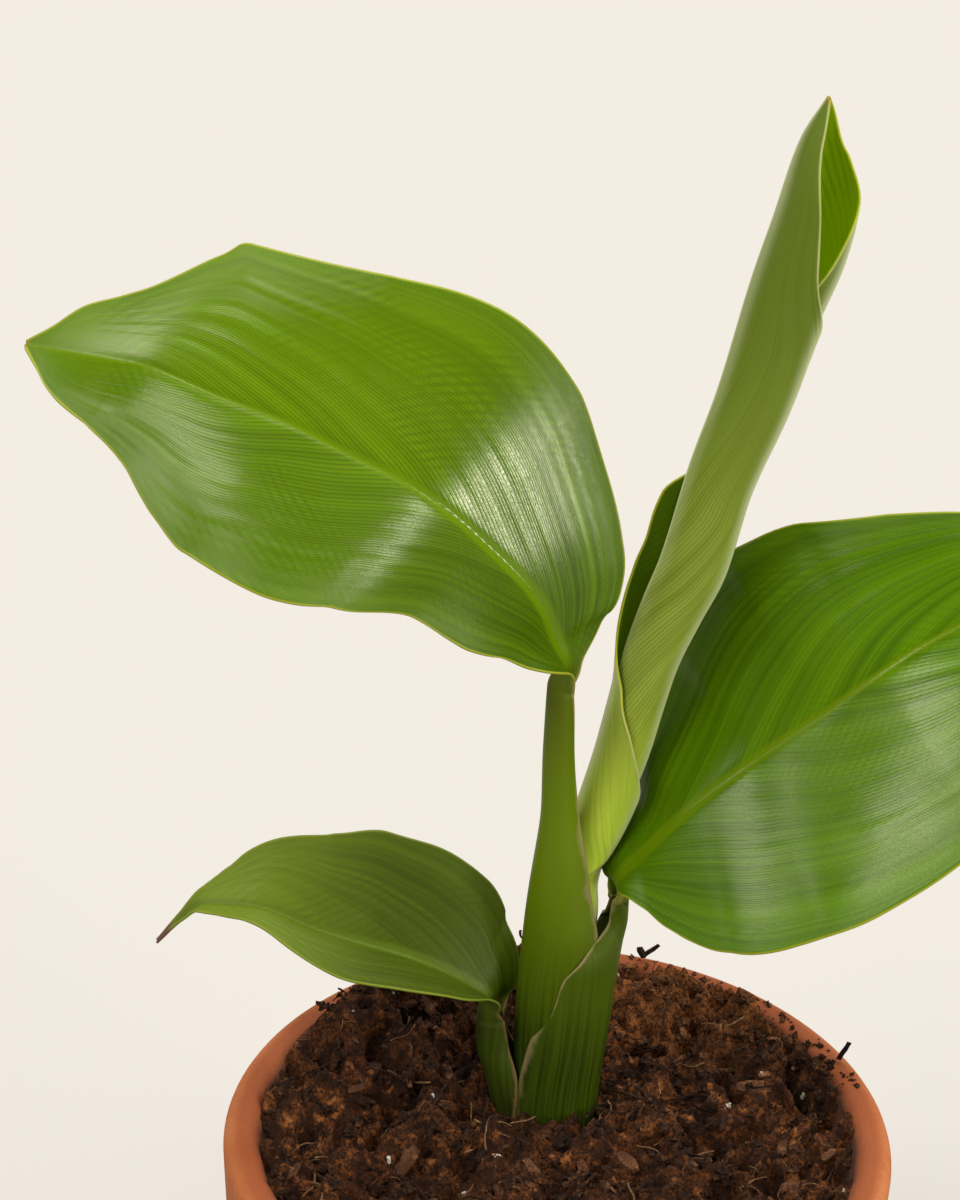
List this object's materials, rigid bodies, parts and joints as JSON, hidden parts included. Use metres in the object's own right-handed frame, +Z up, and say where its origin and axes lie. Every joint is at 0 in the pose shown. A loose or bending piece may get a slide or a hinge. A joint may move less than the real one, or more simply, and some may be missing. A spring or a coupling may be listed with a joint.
{
  "type": "potted white bird of paradise plant",
  "caption": "Young white bird of paradise plant with broad glossy leaves and a rolled new leaf, standing in a round terracotta pot of potting mix.",
  "frame": {"origin": "centre of the pot's base, on the surface that it stands on", "axes": "+Z up along the pot's axis; +Y away from the side that the picture shows; +X to the right of that side, along the fan of leaves"},
  "size_m": [0.2046, 0.13, 0.3163],
  "materials": {
    "terracotta": "unglazed matt orange-brown fired clay",
    "potting_mix": "crumbly dark brown peat mix with bark and white grains",
    "leaf_green": "glossy bright green leaf with fine parallel veins",
    "new_leaf_green": "satin pale grey-green underside of a rolled leaf",
    "old_leaf_green": "satin dark green leaf with a dry brown tip"
  },
  "bodies": {
    "root": {"pot": "terracotta", "soil": "potting_mix", "leaf_upper_left": "leaf_green", "leaf_right": "leaf_green", "leaf_rolled": "new_leaf_green", "leaf_lower_left": "old_leaf_green"}
  },
  "joints": []
}
